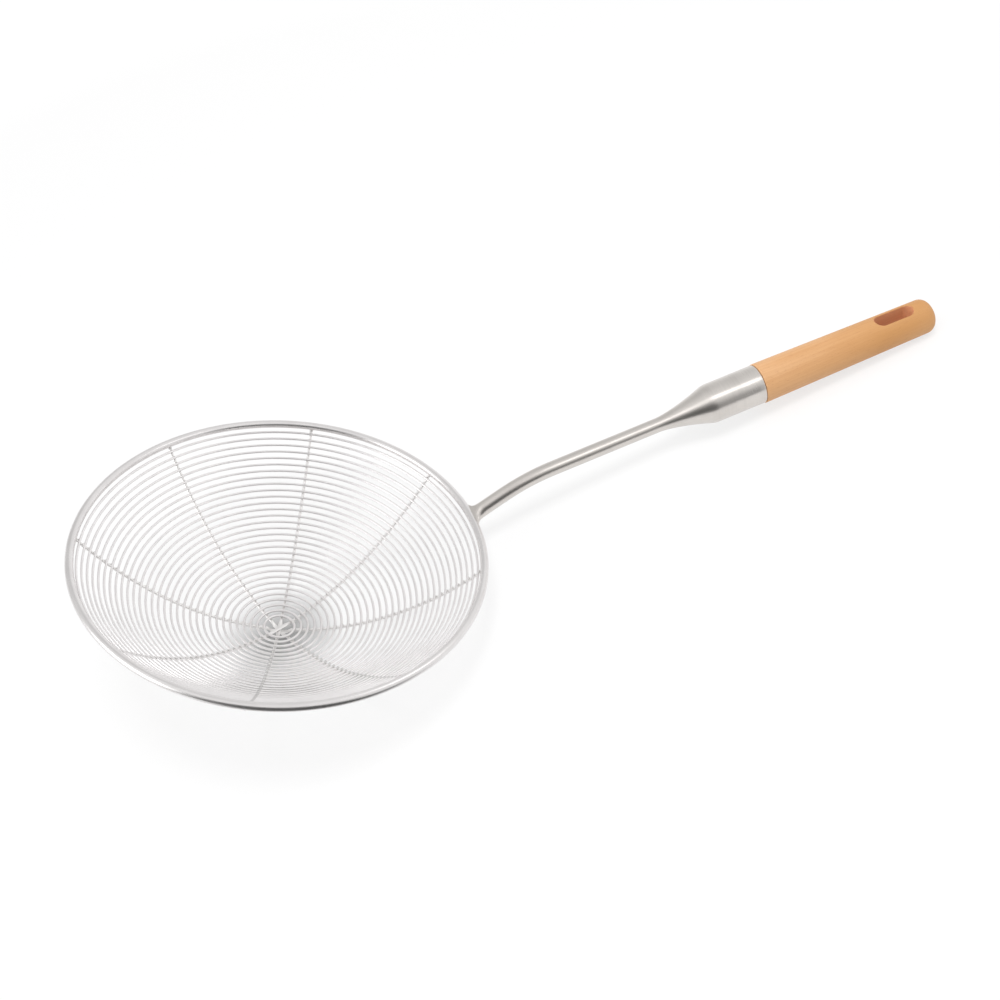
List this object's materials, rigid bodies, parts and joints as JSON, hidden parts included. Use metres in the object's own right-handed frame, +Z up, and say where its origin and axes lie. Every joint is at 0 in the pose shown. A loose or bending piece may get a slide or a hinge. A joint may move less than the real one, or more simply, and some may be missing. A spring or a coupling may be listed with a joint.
{
  "type": "skimmer",
  "caption": "Wire skimmer: a shallow bowl of concentric steel rings on rib wires and a round rim, with a bent steel stem, a flared socket and a turned wood grip with a hanging slot.",
  "frame": {"origin": "on the table under the middle of the tool, which lies as it does at rest, on two rib wires and the end of the grip", "axes": "+X along the tool from the bowl towards the grip, +Z up from the table, the plane of the handle is Y = 0"},
  "size_m": [0.4616, 0.204, 0.0965],
  "materials": {
    "rim_wire": "polished round stainless wire",
    "basket_wire": "polished thin stainless wire",
    "handle_steel": "satin stainless tube, brushed along its length",
    "beech": "smooth turned beech with a thin clear oil"
  },
  "bodies": {
    "root": {"rim_ring": "rim_wire", "basket_ring_01": "basket_wire", "basket_ring_02": "basket_wire", "basket_ring_03": "basket_wire", "basket_ring_04": "basket_wire", "basket_ring_05": "basket_wire", "basket_ring_06": "basket_wire", "basket_ring_07": "basket_wire", "basket_ring_08": "basket_wire", "basket_ring_09": "basket_wire", "basket_ring_10": "basket_wire", "basket_ring_11": "basket_wire", "basket_ring_12": "basket_wire", "basket_ring_13": "basket_wire", "basket_ring_14": "basket_wire", "basket_ring_15": "basket_wire", "basket_ring_16": "basket_wire", "basket_ring_17": "basket_wire", "basket_ring_18": "basket_wire", "basket_ring_19": "basket_wire", "basket_ring_20": "basket_wire", "basket_ring_21": "basket_wire", "basket_ring_22": "basket_wire", "basket_ring_23": "basket_wire", "basket_ring_24": "basket_wire", "basket_ring_25": "basket_wire", "basket_ring_26": "basket_wire", "basket_ring_27": "basket_wire", "basket_ring_28": "basket_wire", "basket_ring_29": "basket_wire", "basket_ring_30": "basket_wire", "basket_ring_31": "basket_wire", "rib_wire_1": "basket_wire", "rib_wire_2": "basket_wire", "rib_wire_3": "basket_wire", "rib_wire_4": "basket_wire", "handle_tube": "handle_steel", "wood_grip": "beech"}
  },
  "joints": []
}
